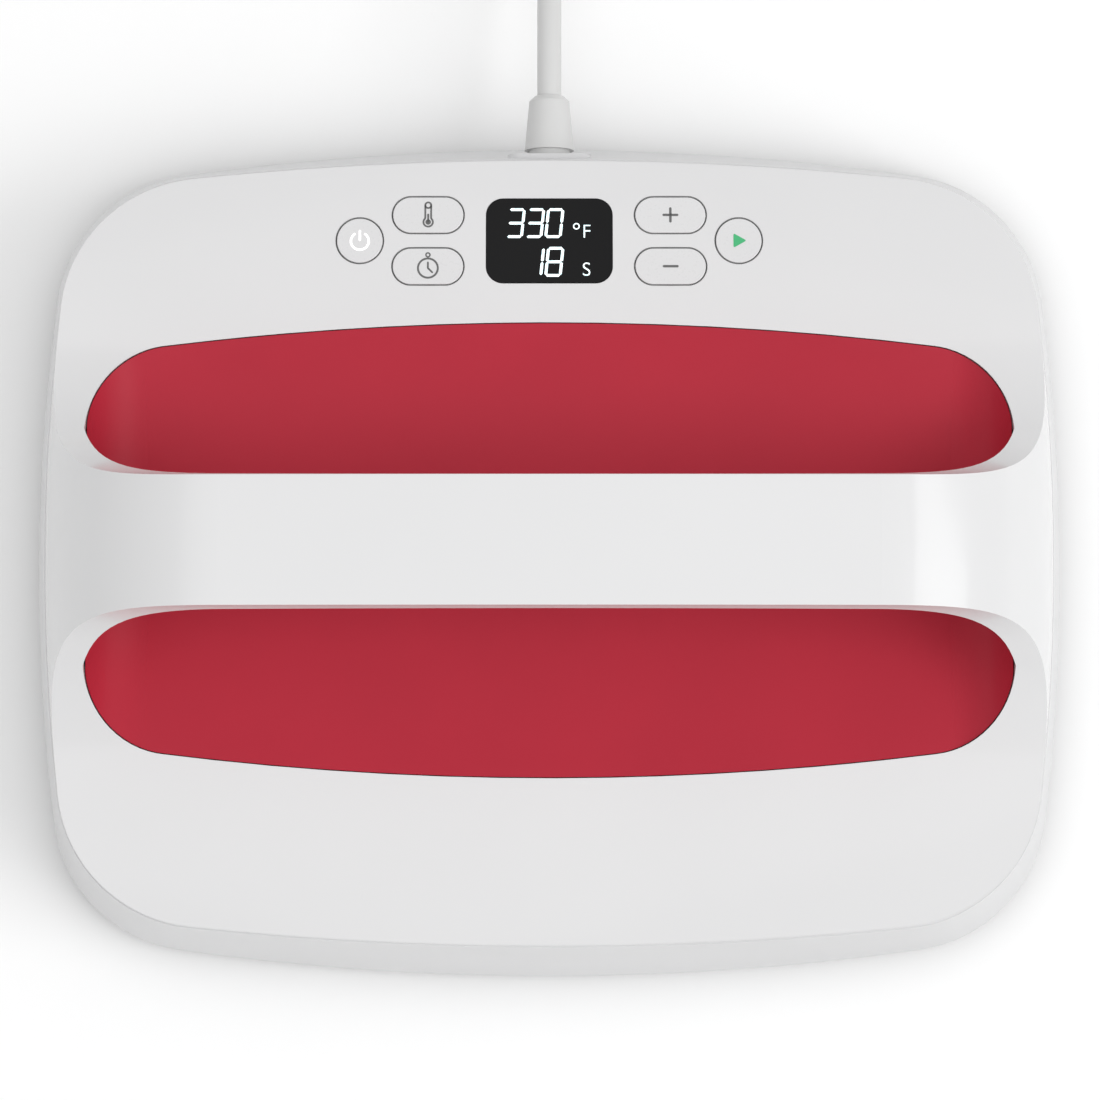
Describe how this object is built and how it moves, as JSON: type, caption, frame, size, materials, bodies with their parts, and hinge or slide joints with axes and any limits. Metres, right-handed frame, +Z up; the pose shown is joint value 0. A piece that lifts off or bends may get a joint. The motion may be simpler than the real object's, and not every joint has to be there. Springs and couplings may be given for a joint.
{
  "type": "handheld heat press",
  "caption": "Handheld heat press: white case with arched carrying handle, red finger scoop, back control panel with display and six keys, flat heated plate, corded.",
  "frame": {"origin": "under the centre of the case, on the surface that the hot plate rests on", "axes": "+X along the handle, to the right when the panel is read; +Y to the back, where the cord leaves; +Z up"},
  "size_m": [0.3528, 0.4657, 0.117],
  "materials": {
    "white_shell": "gloss",
    "white_skirt": "satin",
    "red_grip": "satin",
    "white_keys": "gloss",
    "display_black": "gloss",
    "black_rubber": "matte",
    "black_plastic": "matte",
    "green_board": "satin",
    "green_block": "matte",
    "beige_plastic": "matte",
    "grey_ribbon": "matte",
    "yellow_wound": "matte",
    "steel": "brushed",
    "plate_metal": "coated",
    "shield_metal": "rolled",
    "dark_surround": "matte",
    "mineral_wool": "fibrous",
    "white_lead": "satin",
    "black_lead": "satin",
    "white_cord": "satin",
    "brass_blades": "polished"
  },
  "bodies": {
    "press": {"top_cover": "white_shell", "lower_housing": "white_skirt", "handle_underside": "red_grip", "grip_scoop": "red_grip", "display_window": "display_black", "display_gasket": "black_rubber", "display_module": "black_plastic", "control_board": "green_board", "button_switches": "black_plastic", "board_screws": "steel", "buzzer": "black_plastic", "power_board": "green_board", "power_board_screws": "steel", "relay": "black_plastic", "transformer": "yellow_wound", "fuse": "steel", "terminal_block": "green_block", "board_headers": "beige_plastic", "ribbon_cable": "grey_ribbon", "heat_plate": "plate_metal", "heating_element": "steel", "element_terminals": "steel", "thermal_cutoff": "beige_plastic", "plate_sensor": "steel", "plate_standoffs": "steel", "plate_screws": "steel", "insulation_mat": "mineral_wool", "heat_shield": "shield_metal", "plate_surround": "dark_surround", "heater_leads": "white_lead", "sensor_lead": "black_lead", "mains_leads": "white_lead", "cord_clamp": "black_plastic", "clamp_screws": "steel", "cover_screws": "steel", "grip_screws": "steel", "strain_relief": "white_cord", "cord_lead": "white_cord", "cord_coil": "white_cord", "cord_tail": "white_cord", "cord_tie": "black_plastic", "plug_body": "white_cord", "plug_blades": "brass_blades"},
    "power_key": {"power_button": "white_keys"},
    "temperature_key": {"temperature_button": "white_keys"},
    "timer_key": {"timer_button": "white_keys"},
    "plus_key": {"plus_button": "white_keys"},
    "minus_key": {"minus_button": "white_keys"},
    "start_key": {"start_button": "white_keys"}
  },
  "joints": [
    {"name": "power_push", "type": "slide", "parent": "press", "child": "power_key", "axis": [0, -0.1445, -0.9895], "range_m": [0, 0.0006], "stiffness_N_per_m": 600},
    {"name": "temperature_push", "type": "slide", "parent": "press", "child": "temperature_key", "axis": [0, -0.1568, -0.9876], "range_m": [0, 0.0006], "stiffness_N_per_m": 600},
    {"name": "timer_push", "type": "slide", "parent": "press", "child": "timer_key", "axis": [0, -0.1323, -0.9912], "range_m": [0, 0.0006], "stiffness_N_per_m": 600},
    {"name": "plus_push", "type": "slide", "parent": "press", "child": "plus_key", "axis": [0, -0.1568, -0.9876], "range_m": [0, 0.0006], "stiffness_N_per_m": 600},
    {"name": "minus_push", "type": "slide", "parent": "press", "child": "minus_key", "axis": [0, -0.1323, -0.9912], "range_m": [0, 0.0006], "stiffness_N_per_m": 600},
    {"name": "start_push", "type": "slide", "parent": "press", "child": "start_key", "axis": [0, -0.1445, -0.9895], "range_m": [0, 0.0006], "stiffness_N_per_m": 600}
  ]
}
